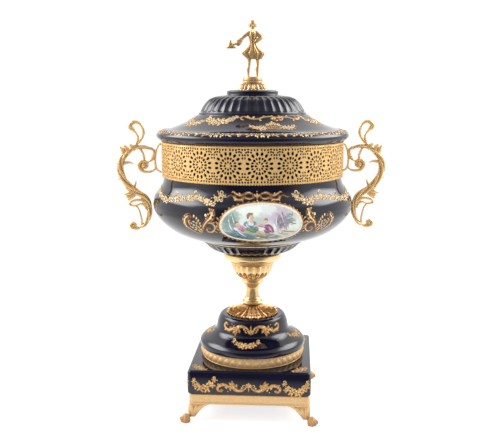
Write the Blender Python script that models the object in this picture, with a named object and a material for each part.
"""Covered porcelain urn with gilt metal mounts, on a square plinth with four paw feet.

Metres, +Z up. The origin is on the floor under the urn's axis, and the front faces -Y.
Run it with blender --background --python part.py, or from Blender's text editor.
"""

import math

import bmesh
import bpy
from mathutils import Matrix, Vector

MM = 0.001

# Clearances between pieces
SEAT_GAP = 0.3 * MM
LID_PLAY = 1.0 * MM

# Plinth, square and slip cast, open below
PLINTH_HALF_WIDTH = 95 * MM
PLINTH_HEIGHT = 38 * MM
PLINTH_CORNER = 6 * MM
PLINTH_EDGE = 4 * MM
PLINTH_WALL = 7 * MM
PLINTH_TURN = math.radians(-7.5)

# Cast base frame with four bracket legs and paw feet
FRAME_SETBACK = 2 * MM
FRAME_RAIL = 13 * MM
FRAME_HEIGHT = 15.5 * MM
LEG_HEIGHT = 28 * MM
LEG_PLATE = 4 * MM
LEG_TOP_WIDTH = 34 * MM
LEG_FOOT_WIDTH = 8 * MM
PAW_RADIUS = 8 * MM
PAW_HEIGHT = 13 * MM
PAW_REACH = 7.5 * MM

# Round foot of porcelain and the gilt ring under it
RING_HEIGHT = 16 * MM
RING_SETBACK = 1.2 * MM
RING_WIDTH = 9 * MM
RING_BULGE = 1.5 * MM
FOOT_RIM_RADIUS = 85 * MM
FOOT_SHOULDER_RADIUS = 58 * MM
FOOT_BAND_STEP = 6 * MM
FOOT_TOP_RADIUS = 49 * MM
FOOT_HEIGHT = 51.5 * MM
FOOT_WALL = 6 * MM
FOOT_SIDES = 30

# Gilt stem: leaf cap, baluster and fluted cup
LEAF_CAP_MARGIN = 7 * MM
LEAF_CAP_HEIGHT = 14.5 * MM
LEAF_CAP_LOBES = 18
LEAF_CAP_LIP = 2.8 * MM
LEAF_NOTCH = 2.2 * MM
STEM_HEIGHT = 40 * MM
STEM_KNOB_RADIUS = 17.2 * MM
STEM_WAIST_RADIUS = 9.8 * MM
STEM_SIDES = 18
CUP_HEIGHT = 45 * MM
CUP_RADIUS = 46 * MM
CUP_BODY_RADIUS = 34 * MM
CUP_FLUTES = 20
CUP_FLUTE_DEPTH = 1.3 * MM

# Porcelain bowl
BOWL_HEIGHT = 123 * MM
BOWL_LEDGE_RADIUS = 82 * MM
BOWL_LEDGE_HEIGHT = 24 * MM
BOWL_LEDGE_STEP = 3 * MM
BELLY_RADIUS = 157 * MM
BELLY_HEIGHT = 81 * MM
NECK_RADIUS = 138.8 * MM
BOWL_WALL = 5 * MM
BOWL_FLOOR = 8 * MM
BOWL_FLUTES = 36
FLUTE_DEPTH = 1.4 * MM

# Pierced gilt gallery between bowl and lid
GALLERY_OVERHANG = 3.4 * MM
GALLERY_RADIUS = NECK_RADIUS + GALLERY_OVERHANG
GALLERY_HEIGHT = 54.5 * MM
GALLERY_WALL = 1.8 * MM
GALLERY_FLANGE = 7 * MM
GALLERY_FLANGE_THICKNESS = 1.5 * MM
GALLERY_PANELS = 20
GALLERY_PETALS = 6
GALLERY_ROSETTE_RADIUS = 19 * MM
GALLERY_HUB_RADIUS = 5 * MM
GALLERY_PIERCING = 9 * MM
# The bowl's neck rises inside the gallery, up to its flange, with its inside flush with the flange
NECK_WALL = GALLERY_FLANGE - GALLERY_OVERHANG
NECK_RISE = GALLERY_HEIGHT - GALLERY_FLANGE_THICKNESS

# Porcelain lid
LID_HEIGHT = 77.5 * MM
LID_OVERHANG = 7.8 * MM
LID_RIM_RADIUS = GALLERY_RADIUS + LID_OVERHANG
LID_LEDGE_RADIUS = 84 * MM
LID_LEDGE_HEIGHT = 43 * MM
LID_LEDGE_STEP = 2.5 * MM
LID_LIP = 16.5 * MM
LID_DOME_RADIUS = 56 * MM
LID_DISC_RADIUS = 40 * MM
LID_DISC_HEIGHT = 8 * MM
LID_WALL = 5 * MM
LID_SPIGOT = 6 * MM
LID_FLUTES = 40

# Gilt finial: leaf plate, and a figure cast with its pedestal
PLATE_RADIUS = 23.5 * MM
PLATE_HEIGHT = 11 * MM
PLATE_LOBES = 16
PLATE_NOTCH = 1.8 * MM
PEDESTAL_RADIUS = 15.3 * MM
PEDESTAL_HEIGHT = 8.5 * MM
FIGURE_HEIGHT = 85 * MM

# Gilt scroll handles
HANDLE_HEIGHT = 173 * MM
HANDLE_GRIP = 1.0

# Heights at which each piece stands, from the floor up
PLINTH_BASE = LEG_HEIGHT + FRAME_HEIGHT + SEAT_GAP
RING_BASE = PLINTH_BASE + PLINTH_HEIGHT + SEAT_GAP
FOOT_BASE = RING_BASE + RING_HEIGHT + SEAT_GAP
LEAF_CAP_BASE = FOOT_BASE + FOOT_HEIGHT + SEAT_GAP
STEM_BASE = LEAF_CAP_BASE + LEAF_CAP_HEIGHT + SEAT_GAP
CUP_BASE = STEM_BASE + STEM_HEIGHT + SEAT_GAP
BOWL_BASE = CUP_BASE + CUP_HEIGHT + SEAT_GAP
GALLERY_BASE = BOWL_BASE + BOWL_HEIGHT + SEAT_GAP
LID_BASE = GALLERY_BASE + GALLERY_HEIGHT + SEAT_GAP
PLATE_BASE = LID_BASE + LID_HEIGHT + SEAT_GAP
FIGURE_BASE = PLATE_BASE + PLATE_HEIGHT + SEAT_GAP


def clear_scene():
    for obj in list(bpy.data.objects):
        bpy.data.objects.remove(obj)


def finish(name, colour, roughness, metallic):
    material = bpy.data.materials.new(name)
    material.use_nodes = True
    shader = material.node_tree.nodes["Principled BSDF"]
    shader.inputs["Base Color"].default_value = (*colour, 1)
    shader.inputs["Roughness"].default_value = roughness
    shader.inputs["Metallic"].default_value = metallic
    return material


# Outlines: lists of (radius, height) or of points, worked out from a few named sizes
def smooth(keys, steps):
    """A smooth curve through the keys, with that many points on each stretch."""
    keys = [Vector(k) for k in keys]
    ends = [2 * keys[0] - keys[1]] + keys + [2 * keys[-1] - keys[-2]]
    found = [keys[0]]
    for before, start, end, after in zip(ends, ends[1:], ends[2:], ends[3:]):
        for step in range(1, steps + 1):
            t = step / steps
            found.append(
                0.5 * (2 * start + (end - before) * t + (2 * before - 5 * start + 4 * end - after) * t**2
                       + (3 * start - before - 3 * end + after) * t**3)
            )
    return found


def between(low, high, shares, steps):
    """A smooth curve from low to high, whose keys are shares of the way in radius and height."""
    keys = [(low[0] + (high[0] - low[0]) * u, low[1] + (high[1] - low[1]) * w) for u, w in shares]
    return smooth(keys, steps)


def inside(outline, wall):
    """The outline moved square to itself by the wall, towards the hollow side."""
    moved = []
    last = len(outline) - 1
    for index, point in enumerate(outline):
        along = Vector(outline[min(index + 1, last)]) - Vector(outline[max(index - 1, 0)])
        along.normalize()
        moved.append(Vector(point) + wall * Vector((-along.y, along.x)))
    return moved


# Rings of vertices, joined one to the next
def round_ring(bm, radius, height, count, lobe=0.0, centre=(0, 0), depth=None):
    """A ring of vertices. Every other vertex is pulled in by lobe, and depth is its radius along Y."""
    stretch = 1.0 if depth is None else depth / radius
    ring = []
    for index in range(count):
        angle = 2 * math.pi * index / count
        reach = radius - (lobe if index % 2 else 0)
        ring.append(
            bm.verts.new((centre[0] + reach * math.cos(angle), centre[1] + stretch * reach * math.sin(angle), height))
        )
    return ring


def square_ring(bm, half, height, corner, steps=2):
    """A ring in the shape of a square with rounded corners."""
    ring = []
    for quarter in range(4):
        turn = math.pi / 2 * quarter
        middle = Matrix.Rotation(turn, 2) @ Vector((half - corner, half - corner))
        for step in range(steps + 1):
            angle = turn + math.pi / 2 * step / steps
            ring.append(
                bm.verts.new((middle.x + corner * math.cos(angle), middle.y + corner * math.sin(angle), height))
            )
    return ring


def skin(bm, low, high):
    """Faces between two rings, which have the same count or of which one has twice the other's."""
    count = min(len(low), len(high))
    for index in range(count):
        after = (index + 1) % count
        if len(low) == len(high):
            bm.faces.new((low[index], low[after], high[after], high[index]))
            continue
        few, many = (low, high) if len(low) < len(high) else (high, low)
        first, middle, last = many[2 * index], many[2 * index + 1], many[(2 * index + 2) % len(many)]
        bm.faces.new((few[index], middle, first))
        bm.faces.new((few[index], few[after], middle))
        bm.faces.new((few[after], last, middle))


def skin_rings(bm, rings, closed):
    """Joins each ring to the next. Closed joins the last to the first; otherwise both ends are capped."""
    for low, high in zip(rings, rings[1:]):
        skin(bm, low, high)
    if closed:
        skin(bm, rings[-1], rings[0])
    else:
        bm.faces.new(rings[0])
        bm.faces.new(rings[-1])
    bmesh.ops.recalc_face_normals(bm, faces=bm.faces)


def body_from(bm, name, material, place=(0, 0, 0), smooth_angle=40):
    mesh = bpy.data.meshes.new(name)
    bm.to_mesh(mesh)
    bm.free()
    mesh.materials.append(material)
    mesh.shade_smooth()
    mesh.set_sharp_from_angle(angle=math.radians(smooth_angle))
    obj = bpy.data.objects.new(name, mesh)
    obj.location = place
    bpy.context.scene.collection.objects.link(obj)
    return obj


def turned(name, rows, count, material, height, closed=False):
    """A turned piece. Each row is (radius, height) or (radius, height, flute), and a fluted row has twice the vertices."""
    bm = bmesh.new()
    rings = []
    for row in rows:
        flute = row[2] if len(row) > 2 else None
        sides = count if flute is None else 2 * count
        rings.append(round_ring(bm, row[0], row[1], sides, flute or 0.0))
    skin_rings(bm, rings, closed)
    return body_from(bm, name, material, (0, 0, height))


def fluted(points, depth):
    """Rows whose every other vertex is sunk, between two plain rows where the flutes run out."""
    return [tuple(points[0])] + [(p[0], p[1], depth) for p in points[1:-1]] + [tuple(points[-1])]


def tube(path, radii, sides_step, material):
    """A tapered rod along a path in the XZ plane or in space, as a mesh with closed ends."""
    curve = bpy.data.curves.new("rod", "CURVE")
    curve.dimensions = "3D"
    curve.bevel_depth = 1
    curve.bevel_resolution = sides_step
    curve.use_fill_caps = True
    spline = curve.splines.new("POLY")
    spline.points.add(len(path) - 1)
    for index, (point, place) in enumerate(zip(spline.points, path)):
        share = index / (len(path) - 1) * (len(radii) - 1)
        low = min(int(share), len(radii) - 2)
        point.co = (*place, 1)
        point.radius = radii[low] + (radii[low + 1] - radii[low]) * (share - low)
    guide = bpy.data.objects.new("rod", curve)
    bpy.context.scene.collection.objects.link(guide)
    bpy.context.view_layer.update()
    graph = bpy.context.evaluated_depsgraph_get()
    mesh = bpy.data.meshes.new_from_object(guide.evaluated_get(graph))
    bpy.data.objects.remove(guide)
    bm = bmesh.new()
    bm.from_mesh(mesh)
    bmesh.ops.remove_doubles(bm, verts=bm.verts, dist=0.001 * MM)
    bmesh.ops.recalc_face_normals(bm, faces=bm.faces)
    return body_from(bm, "rod", material)


def joined(name, pieces, material, cutter=None, tangled=False, solver="EXACT"):
    """One casting made of overlapping pieces. Tangled pieces may cross themselves, and a cutter is taken away."""
    host = pieces[0]
    for piece in pieces[1:]:
        union = host.modifiers.new("union", "BOOLEAN")
        union.operation = "UNION"
        union.solver = solver
        union.use_self = tangled
        union.object = piece
    if cutter:
        cut = host.modifiers.new("cut", "BOOLEAN")
        cut.operation = "DIFFERENCE"
        cut.solver = solver
        cut.object = cutter
    bpy.context.view_layer.update()
    graph = bpy.context.evaluated_depsgraph_get()
    mesh = bpy.data.meshes.new_from_object(host.evaluated_get(graph))
    for piece in pieces + ([cutter] if cutter else []):
        bpy.data.objects.remove(piece)
    bm = bmesh.new()
    bm.from_mesh(mesh)
    if solver == "EXACT":
        bmesh.ops.remove_doubles(bm, verts=bm.verts, dist=0.01 * MM)
        bmesh.ops.dissolve_degenerate(bm, edges=bm.edges, dist=0.01 * MM)
    return body_from(bm, name, material)


# Base frame, plinth and ring
def base_frame(material):
    half = PLINTH_HALF_WIDTH - FRAME_SETBACK
    inner = half - FRAME_RAIL
    bm = bmesh.new()
    top = LEG_HEIGHT + FRAME_HEIGHT
    rings = [
        square_ring(bm, half, LEG_HEIGHT, PLINTH_CORNER),
        square_ring(bm, half, top, PLINTH_CORNER),
        square_ring(bm, inner, top, PLINTH_CORNER),
        square_ring(bm, inner, LEG_HEIGHT, PLINTH_CORNER),
    ]
    skin_rings(bm, rings, closed=True)
    pieces = [body_from(bm, "rail", material)]
    for quarter in range(4):
        corner = Matrix.Rotation(math.pi / 2 * quarter, 4, "Z")
        for mirrored in (False, True):
            pieces.append(bracket(half, corner, mirrored, material))
        pieces.append(paw(half, corner, material))
    return joined("footed_base_frame", pieces, material)


def bracket(half, corner, mirrored, material):
    """One plate of a bracket leg, seen from the front: a concave curve from the rail down to the foot."""
    outer = half - 1 * MM
    overlap = 3 * MM
    foot = LEG_HEIGHT * 0.2
    curve = smooth([(outer - LEG_TOP_WIDTH, LEG_HEIGHT), (outer - LEG_TOP_WIDTH * 0.62, LEG_HEIGHT * 0.76),
                    (outer - LEG_FOOT_WIDTH, foot)], 2)
    outline = [(outer, foot), (outer, LEG_HEIGHT + overlap), (outer - LEG_TOP_WIDTH, LEG_HEIGHT + overlap)]
    outline += [(p.x, p.y) for p in curve]
    bm = bmesh.new()
    face = bm.faces.new([bm.verts.new((x, -outer, z)) for x, z in outline])
    plate = bmesh.ops.extrude_face_region(bm, geom=[face])["geom"]
    bmesh.ops.translate(bm, verts=[g for g in plate if isinstance(g, bmesh.types.BMVert)], vec=(0, LEG_PLATE, 0))
    if mirrored:
        swap = Matrix(((0, -1, 0, 0), (-1, 0, 0, 0), (0, 0, 1, 0), (0, 0, 0, 1)))
        bmesh.ops.transform(bm, matrix=swap, verts=bm.verts)
    bmesh.ops.transform(bm, matrix=corner, verts=bm.verts)
    bmesh.ops.recalc_face_normals(bm, faces=bm.faces)
    return body_from(bm, "bracket", material)


def paw(half, corner, material):
    """A paw foot on the diagonal, flat below."""
    bm = bmesh.new()
    middle = half + PAW_REACH - PAW_RADIUS * 0.45
    shares = [(0.86, 0.0), (1.0, 0.3), (0.9, 0.62), (0.5, 1.0)]
    rings = [
        round_ring(bm, PAW_RADIUS * wide, PAW_HEIGHT * high, 10, PAW_RADIUS * 0.12, (middle, -middle))
        for wide, high in shares
    ]
    skin_rings(bm, rings, closed=False)
    bmesh.ops.transform(bm, matrix=corner, verts=bm.verts)
    return body_from(bm, "paw", material)


def plinth(material):
    half, wall, edge = PLINTH_HALF_WIDTH, PLINTH_WALL, PLINTH_EDGE
    bm = bmesh.new()
    outer = [(half - edge, 0), (half - edge * 0.3, edge * 0.3), (half, edge),
             (half, PLINTH_HEIGHT - edge), (half - edge * 0.3, PLINTH_HEIGHT - edge * 0.3), (half - edge, PLINTH_HEIGHT)]
    hollow = [(half - wall, PLINTH_HEIGHT - wall), (half - wall, 0)]
    rings = [square_ring(bm, width, height, PLINTH_CORNER) for width, height in hollow + outer]
    skin_rings(bm, rings, closed=False)
    return body_from(bm, "plinth", material, (0, 0, PLINTH_BASE))


def foot_ring(material):
    outer = FOOT_RIM_RADIUS - RING_SETBACK
    inner = outer - RING_WIDTH
    swell = RING_HEIGHT * 0.5
    edge = outer - RING_BULGE
    rows = [(inner, 0), (edge, 0), (outer, swell), (edge, RING_HEIGHT), (inner, RING_HEIGHT)]
    return turned("foot_ring", rows, FOOT_SIDES, material, RING_BASE, closed=True)


def foot_outline():
    """The foot's outer side, from its rim up to the edge of its flat top."""
    rim, shoulder, top = FOOT_RIM_RADIUS, FOOT_SHOULDER_RADIUS, FOOT_TOP_RADIUS
    rise = FOOT_HEIGHT
    band = [(rim - 1 * MM, 0), (rim, rise * 0.05), (rim, rise * 0.16), (rim - 2.5 * MM, rise * 0.23)]
    step = rim - FOOT_BAND_STEP
    sweep = between((shoulder, rise * 0.62), (step, rise * 0.29),
                    [(1, 1), (0.72, 0.86), (0.35, 0.62), (0.08, 0.3), (0, 0)], 1)
    drum = between((shoulder, rise * 0.62), (top, rise), [(0, 0), (0.22, 0.45), (0.6, 0.85), (1, 1)], 1)
    return [Vector(p) for p in band] + sweep + drum[1:]


def foot(material):
    outer = foot_outline()
    hollow = [(FOOT_TOP_RADIUS - FOOT_WALL, FOOT_HEIGHT - FOOT_WALL), (FOOT_SHOULDER_RADIUS - FOOT_WALL, FOOT_HEIGHT * 0.55),
              (FOOT_RIM_RADIUS - FOOT_WALL, FOOT_HEIGHT * 0.12), (FOOT_RIM_RADIUS - FOOT_WALL, 0)]
    return turned("round_foot", hollow + [tuple(p) for p in outer], FOOT_SIDES, material, FOOT_BASE)


# Stem
def leaf_cap(material):
    rim = FOOT_TOP_RADIUS - LEAF_CAP_MARGIN
    neck = STEM_KNOB_RADIUS * 0.72
    back = rim - LEAF_CAP_LIP * 0.7
    rows = [(back, 0, 0.0), (rim, LEAF_CAP_LIP * 0.4, LEAF_NOTCH)]
    sweep = between((back, LEAF_CAP_LIP), (neck, LEAF_CAP_HEIGHT), [(0, 0), (0.35, 0.2), (0.7, 0.5), (1, 1)], 1)
    rows += [(p.x, p.y, LEAF_NOTCH * 0.4) for p in sweep[:-1]] + [(neck, LEAF_CAP_HEIGHT)]
    return turned("leaf_cap", rows, LEAF_CAP_LOBES, material, LEAF_CAP_BASE)


def stem(material):
    knob, waist, rise = STEM_KNOB_RADIUS, STEM_WAIST_RADIUS, STEM_HEIGHT
    base = [(knob * 0.78, 0), (knob * 0.95, rise * 0.03), (knob, rise * 0.08), (knob * 0.86, rise * 0.13)]
    shaft = between((waist, rise * 0.5), (knob * 0.82, rise * 0.18), [(1, 1), (0.3, 0.66), (0, 0)], 1)
    spread = between((waist, rise * 0.5), (knob * 0.8, rise * 0.84), [(0, 0), (0.18, 0.5), (1, 1)], 1)
    collar = [(knob * 1.02, rise * 0.89), (knob * 1.02, rise * 0.96), (knob * 0.9, rise)]
    rows = base + [tuple(p) for p in shaft + spread[1:]] + collar
    return turned("stem", rows, STEM_SIDES, material, STEM_BASE)


def stem_cup(material):
    body, top, rise = CUP_BODY_RADIUS, CUP_RADIUS, CUP_HEIGHT
    foot_radius = STEM_KNOB_RADIUS
    belly = between((foot_radius, rise * 0.04), (body, rise * 0.6), [(0, 0), (0.45, 0.2), (0.78, 0.5), (1, 1)], 1)
    rows = [(foot_radius, 0)] + fluted(belly, CUP_FLUTE_DEPTH)
    flare = top - body
    rows += [(body + flare * 0.12, rise * 0.64), (body + flare * 0.33, rise * 0.68), (body + flare * 0.8, rise * 0.76)]
    rows += [(top, rise * 0.84), (top, rise * 0.96), (top - flare * 0.12, rise)]
    return turned("stem_cup", rows, CUP_FLUTES, material, CUP_BASE)


# Bowl
def bowl_body():
    """The bowl's outer side from its ledge, over the belly and up to the neck."""
    ledge = (BOWL_LEDGE_RADIUS + BOWL_LEDGE_STEP * 0.7, BOWL_LEDGE_HEIGHT + BOWL_LEDGE_STEP * 0.3)
    belly = (BELLY_RADIUS, BELLY_HEIGHT)
    under = between(ledge, belly, [(0, 0), (0.3, 0.1), (0.59, 0.28), (0.83, 0.54), (0.965, 0.8), (1, 1)], 1)
    neck = (NECK_RADIUS, BOWL_HEIGHT)
    above = between(belly, neck, [(0, 0), (0.14, 0.28), (0.52, 0.52), (0.84, 0.75), (1, 1)], 1)
    return under + above[1:]


def bowl(material):
    seat = CUP_RADIUS
    step = BOWL_LEDGE_STEP
    lower = between((seat, step * 0.5), (BOWL_LEDGE_RADIUS - step, BOWL_LEDGE_HEIGHT - step * 1.3),
                    [(0, 0), (0.36, 0.15), (0.67, 0.42), (1, 1)], 1)
    ledge = [(BOWL_LEDGE_RADIUS, BOWL_LEDGE_HEIGHT - step), (BOWL_LEDGE_RADIUS, BOWL_LEDGE_HEIGHT)]
    side = bowl_body()
    lining = inside(side, BOWL_WALL)[::2]
    lining[0] = Vector((BOWL_LEDGE_RADIUS - step * 0.3, BOWL_LEDGE_HEIGHT + BOWL_WALL * 1.4))
    lining[-1] = Vector((NECK_RADIUS - BOWL_WALL, BOWL_HEIGHT))
    neck, rim = NECK_RADIUS - NECK_WALL, BOWL_HEIGHT + NECK_RISE
    floor = [(seat, BOWL_FLOOR * 1.12), (seat * 0.5, BOWL_FLOOR)]
    rows = [(seat - step, 0)] + fluted(lower, FLUTE_DEPTH) + ledge + [tuple(p) for p in side]
    rows += [(NECK_RADIUS, rim), (neck, rim), (neck, BOWL_HEIGHT + BOWL_WALL)]
    rows += [tuple(p) for p in reversed(lining)] + floor
    return turned("bowl", rows, BOWL_FLUTES, material, BOWL_BASE)


# Gallery
def gallery(material):
    band = pierced_band(material)
    inner, reach = GALLERY_RADIUS - GALLERY_FLANGE, GALLERY_RADIUS - GALLERY_WALL * 0.5
    under, top = GALLERY_HEIGHT - GALLERY_FLANGE_THICKNESS, GALLERY_HEIGHT - SEAT_GAP
    rows = [(inner, under), (reach, under), (reach, top), (inner, top)]
    flange = turned("flange", rows, 2 * GALLERY_PANELS, material, 0, closed=True)
    made = joined("gallery", [band, flange], material)
    made.location.z = GALLERY_BASE
    return made


def pierced_band(material):
    """A flat panel with a rosette of wedge holes, repeated round the band and given its thickness."""
    width = 2 * math.pi * GALLERY_RADIUS / GALLERY_PANELS
    bm = bmesh.new()
    corners = [(-0.5, 0), (0, 0), (0.5, 0), (0.5, 0.5), (0.5, 1), (0, 1), (-0.5, 1), (-0.5, 0.5)]
    outline_loop(bm, [(width * x, GALLERY_HEIGHT * y) for x, y in corners])
    for petal in range(GALLERY_PETALS):
        turn = Matrix.Rotation(2 * math.pi * (petal + 0.5) / GALLERY_PETALS, 2)
        wedge = [(GALLERY_HUB_RADIUS, 0), (GALLERY_ROSETTE_RADIUS, -GALLERY_PIERCING / 2),
                 (GALLERY_ROSETTE_RADIUS, GALLERY_PIERCING / 2)]
        outline_loop(bm, [turn @ Vector(p) + Vector((0, GALLERY_HEIGHT / 2)) for p in wedge])
    bmesh.ops.triangle_fill(bm, use_beauty=True, use_dissolve=False, edges=bm.edges)
    panel = bm.faces[:] + bm.edges[:] + bm.verts[:]
    for index in range(1, GALLERY_PANELS):
        copy = bmesh.ops.duplicate(bm, geom=panel)["geom"]
        verts = [g for g in copy if isinstance(g, bmesh.types.BMVert)]
        bmesh.ops.translate(bm, verts=verts, vec=(width * index, 0, 0))
    for vert in bm.verts:
        angle = vert.co.x / GALLERY_RADIUS
        vert.co = (GALLERY_RADIUS * math.sin(angle), -GALLERY_RADIUS * math.cos(angle), vert.co.y)
    bmesh.ops.remove_doubles(bm, verts=bm.verts, dist=0.01 * MM)
    bmesh.ops.recalc_face_normals(bm, faces=bm.faces)
    outward = sum(f.normal.dot(f.calc_center_median() * Vector((1, 1, 0))) for f in bm.faces)
    if outward < 0:
        bmesh.ops.reverse_faces(bm, faces=bm.faces)
    band = body_from(bm, "band", material)
    wall = band.modifiers.new("wall", "SOLIDIFY")
    wall.thickness = GALLERY_WALL
    wall.offset = -1
    return band


def outline_loop(bm, points):
    verts = [bm.verts.new((p[0], p[1], 0)) for p in points]
    for start, end in zip(verts, verts[1:] + verts[:1]):
        bm.edges.new((start, end))


# Lid
def lid(material):
    rim, ledge, dome, disc = LID_RIM_RADIUS, LID_LEDGE_RADIUS, LID_DOME_RADIUS, LID_DISC_RADIUS
    seat = GALLERY_RADIUS
    spigot = GALLERY_RADIUS - GALLERY_FLANGE - LID_PLAY
    edge = [(spigot, -LID_SPIGOT), (spigot, 0), (seat, 0)]
    step, lip_in = LID_LEDGE_STEP, LID_LIP * 0.18
    lip = [(seat + lip_in, LID_LIP * 0.09), (rim - lip_in * 0.2, LID_LIP * 0.36), (rim, LID_LIP * 0.6),
           (rim - lip_in, LID_LIP * 0.85)]
    slope = between((rim - lip_in * 2.7, LID_LIP), (ledge, LID_LEDGE_HEIGHT - step),
                    [(0, 0), (0.3, 0.16), (0.68, 0.54), (1, 1)], 1)
    shelf = [(ledge, LID_LEDGE_HEIGHT), (ledge - step, LID_LEDGE_HEIGHT + step * 0.2)]
    top = LID_HEIGHT - LID_DISC_HEIGHT
    ribs = between((ledge - step * 1.2, LID_LEDGE_HEIGHT + step * 0.8), (dome, top - step * 0.6),
                   [(0, 0), (0.22, 0.42), (0.55, 0.8), (1, 1)], 1)
    round_edge = LID_DISC_HEIGHT * 0.25
    crown = [(disc + step, top), (disc, top + step * 0.6), (disc, LID_HEIGHT - round_edge), (disc - 2 * round_edge, LID_HEIGHT)]
    dome_lining = [p for p in reversed(inside(ribs, LID_WALL))][1::2]
    slope_lining = [p for p in reversed(inside(slope, LID_WALL))][:3]
    hollow = [(disc, top - LID_WALL)] + [tuple(p) for p in dome_lining + slope_lining]
    hollow += [(spigot - LID_WALL, LID_LIP * 0.73), (spigot - LID_WALL, -LID_SPIGOT)]
    rows = hollow + edge + lip + [tuple(p) for p in slope] + shelf + fluted(ribs, FLUTE_DEPTH) + crown
    return turned("lid", rows, LID_FLUTES, material, LID_BASE)


# Finial
def leaf_plate(material):
    rows = [(PLATE_RADIUS * 0.96, 0, 0.0), (PLATE_RADIUS, PLATE_HEIGHT * 0.14, PLATE_NOTCH),
            (PLATE_RADIUS * 0.85, PLATE_HEIGHT * 0.5, PLATE_NOTCH * 0.45), (PLATE_RADIUS * 0.72, PLATE_HEIGHT * 0.92, 0.0),
            (PLATE_RADIUS * 0.66, PLATE_HEIGHT)]
    return turned("finial_plate", rows, PLATE_LOBES, material, PLATE_BASE)


def lofted(sections, count, material, lobe=0.0):
    """A solid through level oval sections, each (x, y, height, half width, half depth)."""
    bm = bmesh.new()
    rings = [round_ring(bm, wide, height, count, lobe, (x, y), deep) for x, y, height, wide, deep in sections]
    skin_rings(bm, rings, closed=False)
    return body_from(bm, "section", material)


def figure(material):
    """A gentleman in a full-skirted coat, holding out his hat. His sizes are shares of his height."""
    h = FIGURE_HEIGHT
    sole = PEDESTAL_HEIGHT
    r = PEDESTAL_RADIUS
    stand = [(r * 1.08, 0), (r * 1.02, sole * 0.25), (r, sole * 0.6), (r * 0.88, sole * 0.9), (r * 0.8, sole)]
    pieces = [lofted([(0, 0, z, w, w) for w, z in stand], 16, material)]

    def at(x, y, z):
        return Vector((x * h, y * h, sole + z * h))

    def limb(points, radii, sides_step=1):
        return tube([at(*p) for p in points], [q * h for q in radii], sides_step, material)

    def oval(sections, count, lobe=0.0):
        return lofted([(x * h, y * h, sole + z * h, w * h, d * h) for x, y, z, w, d in sections], count, material, lobe)

    # Shoes and stockinged legs
    for x, knee in ((-0.078, -0.062), (0.086, 0.096)):
        pieces.append(oval([(x, -0.03, -0.02, 0.024, 0.05), (x, -0.03, 0.016, 0.025, 0.05), (x, -0.01, 0.034, 0.015, 0.024)], 8))
        pieces.append(limb([(x, 0, 0.01), (x, 0.004, 0.12), (knee, 0, 0.22), (knee * 0.9, 0, 0.4)],
                           [0.018, 0.029, 0.024, 0.04]))
    # Flared coat skirt, torso and neck
    pieces.append(oval([(0.034, 0, 0.315, 0.13, 0.07), (0.025, 0, 0.36, 0.165, 0.09), (0.012, 0, 0.42, 0.218, 0.1),
                        (0.01, 0, 0.5, 0.125, 0.08), (0.006, 0, 0.61, 0.058, 0.048)], 14, 0.014 * h))
    pieces.append(oval([(0.004, 0, 0.58, 0.058, 0.046), (0.002, 0, 0.64, 0.06, 0.046), (0, 0, 0.73, 0.084, 0.058),
                        (0, 0, 0.79, 0.09, 0.05), (0, 0, 0.825, 0.045, 0.036), (0, 0, 0.87, 0.026, 0.028)], 10))
    # Head, with the wig's side curls and queue
    pieces.append(oval([(0, -0.004, 0.85, 0.026, 0.03), (0, -0.004, 0.875, 0.042, 0.046), (0, 0, 0.92, 0.05, 0.054),
                        (0, 0.002, 0.97, 0.046, 0.05), (0, 0.004, 1.0, 0.02, 0.024)], 8))
    pieces.append(limb([(-0.062, 0.012, 0.893), (0.062, 0.012, 0.893)], [0.02, 0.024, 0.02]))
    pieces.append(oval([(0, 0.056, 0.77, 0.013, 0.013), (0, 0.06, 0.81, 0.022, 0.02), (0, 0.05, 0.9, 0.024, 0.022)], 6))
    # The arm held out with the hat, and the arm bent to the hip
    pieces.append(limb([(-0.07, 0, 0.775), (-0.135, -0.01, 0.73), (-0.2, -0.02, 0.67), (-0.27, -0.025, 0.6)],
                       [0.036, 0.033, 0.03, 0.036]))
    pieces.append(limb([(-0.25, -0.025, 0.612), (-0.385, -0.028, 0.565)], [0.018, 0.016]))
    pieces.append(oval([(-0.39, -0.025, 0.5, 0.084, 0.05), (-0.39, -0.025, 0.53, 0.076, 0.052), (-0.395, -0.025, 0.55, 0.045, 0.036),
                        (-0.404, -0.025, 0.645, 0.016, 0.018)], 6))
    pieces.append(limb([(0.07, 0, 0.775), (0.135, -0.01, 0.73), (0.165, -0.015, 0.695), (0.12, -0.035, 0.655), (0.055, -0.05, 0.63)],
                       [0.036, 0.033, 0.034, 0.03, 0.02]))
    made = joined("finial_figure", pieces, material, tangled=True)
    made.location.z = FIGURE_BASE
    return made


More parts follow.
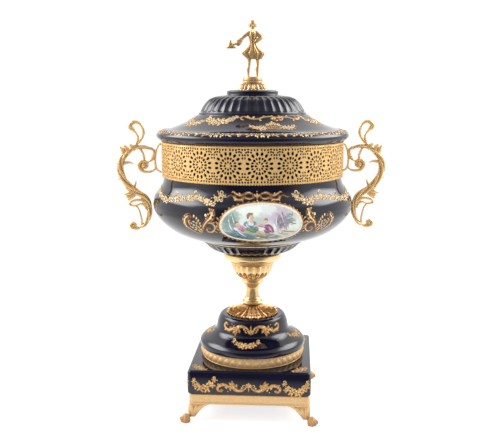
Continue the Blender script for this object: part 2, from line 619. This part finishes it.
# Handles: strokes in percent of the handle's height, out from the urn's side and up from the gallery's middle
HANDLE_BODY = [(5.5, 6.8), (14, 9.7), (24.2, 9.2), (32.5, 3.6), (37.5, -5.8), (36.7, -15.3), (26.2, -26.2),
               (14.2, -32.8), (4.6, -40.1), (3.2, -51.2), (7.1, -60.1), (14.6, -64.5), (18.2, -63.8), (15.1, -62)]
HANDLE_BODY_RADII = [1.6, 1.7, 1.9, 2.4, 3, 3.1, 3.2, 3.2, 2.7, 2.5, 2.1, 1.8, 2, 1.8]
HANDLE_STROKES = [
    ([(33.6, 3.6), (22.9, 12.5), (16.3, 21.5), (17.4, 29), (23.5, 33), (28.5, 29), (25.5, 25.8)],
     [1.8, 1.4, 1.3, 1.4, 1.7, 2.2, 2.2]),
    ([(25.5, 25.8), (21.2, 18.7), (22.9, 12.5)], [1.5, 1.2, 1.2]),
    ([(18.6, 8.1), (16.1, 0.4), (17.4, -4), (14, -6.6), (16.4, -9.4)], [1.3, 1.2, 1.6, 1.7, 1.7]),
    ([(5.7, -9), (12.4, -12.7), (19.6, -10.2), (19.8, -4), (16.5, -3)], [1, 1.1, 1.3, 1.3, 1.2]),
    ([(8.4, 8.1), (7.2, 1.8), (13.2, -4)], [1, 1.9, 1]),
    ([(5.4, 7.2), (6.2, -2), (5.6, -9.6)], [1.2, 0.9, 1.2]),
    ([(36, -4.5), (30, -3.6), (25.8, -5.4)], [1.5, 1.3, 0.4]),
    ([(38, -12.5), (41.3, -12.7)], [1.3, 0.4]),
    ([(32.5, 3), (35.5, 8.6), (40.1, 11.5)], [1.8, 1.3, 0.4]),
    ([(22.2, -28), (25.6, -31.8), (28.2, -33.2)], [2.3, 2, 0.8]),
    ([(5.4, -43), (12.2, -38.2), (18.9, -38.8), (21.6, -41.4)], [1.6, 1.2, 1.2, 1.1]),
    ([(21.6, -41.4), (15.9, -43.6), (9.6, -42.4), (5.6, -47.5)], [1.1, 0.9, 1.1, 1.3]),
    ([(15.9, -43.5), (11.8, -52), (11.1, -62)], [0.8, 0.8, 1]),
]


def urn_side(height):
    """How far the urn's side stands out at a height: the gallery's side, then out to the belly below it."""
    belly = BOWL_BASE + BELLY_HEIGHT
    share = min(max((GALLERY_BASE - height) / (GALLERY_BASE - belly), 0), 1)
    return GALLERY_RADIUS + share * (BELLY_RADIUS - GALLERY_RADIUS)


def handle_pieces(material):
    """The strokes as tapered rods. Each lies a little off the handle's middle plane, so that no two faces coincide."""
    percent = HANDLE_HEIGHT / 100
    middle = GALLERY_BASE + GALLERY_HEIGHT / 2
    reach = GALLERY_HEIGHT * 0.4 / percent
    # The last two are prongs that reach the gallery's side, near its top and its bottom edge
    strokes = [(HANDLE_BODY, HANDLE_BODY_RADII)] + HANDLE_STROKES
    strokes += [([(5.4, 6.8), (3, reach * 0.9), (-1, reach)], [1.1, 0.9, 1.1]),
                ([(5.7, -9.2), (3, -reach * 0.96), (-1, -reach)], [1.1, 0.9, 1.1])]
    pieces = []
    for index, (points, radii) in enumerate(strokes):
        sway = 0.08 * percent * (index * 3 % 7 - 3) if index else 0
        path = []
        for point in smooth(points, 2 if index == 0 else 1):
            height = middle + point.y * percent
            path.append(Vector((urn_side(height) + point.x * percent, sway, height)))
        pieces.append(tube(path, [q * percent * HANDLE_GRIP for q in radii], 0 if index else 1, material))
    return pieces


def handles(material):
    """Both handles share one casting, cut back to stand clear of the gallery's round side."""
    sides = 2 * GALLERY_PANELS
    middle = GALLERY_BASE + GALLERY_HEIGHT / 2
    bm = bmesh.new()
    radius = (GALLERY_RADIUS + SEAT_GAP) / math.cos(math.pi / sides)
    rings = [round_ring(bm, radius, middle + GALLERY_HEIGHT * s, sides) for s in (-1, 1)]
    skin_rings(bm, rings, closed=False)
    bmesh.ops.rotate(bm, verts=bm.verts, matrix=Matrix.Rotation(math.pi / sides, 3, "Z"))
    drum = body_from(bm, "drum", material)
    first = joined("handle_right", handle_pieces(material), material, drum, solver="MANIFOLD")
    second = bpy.data.objects.new("handle_left", first.data)
    second.rotation_euler.z = math.pi
    bpy.context.scene.collection.objects.link(second)


def build():
    clear_scene()
    cobalt = finish("cobalt_glaze", (0.012, 0.014, 0.05), 0.08, 0.0)
    gilt = finish("gilt_metal", (0.83, 0.6, 0.26), 0.22, 1.0)
    turn = bpy.data.objects.new("plinth_turn", None)
    bpy.context.scene.collection.objects.link(turn)
    turn.rotation_euler.z = PLINTH_TURN
    base_frame(gilt).parent = turn
    plinth(cobalt).parent = turn
    foot_ring(gilt)
    foot(cobalt)
    leaf_cap(gilt)
    stem(gilt)
    stem_cup(gilt)
    bowl(cobalt)
    gallery(gilt)
    handles(gilt)
    lid(cobalt)
    leaf_plate(gilt)
    figure(gilt)


build()
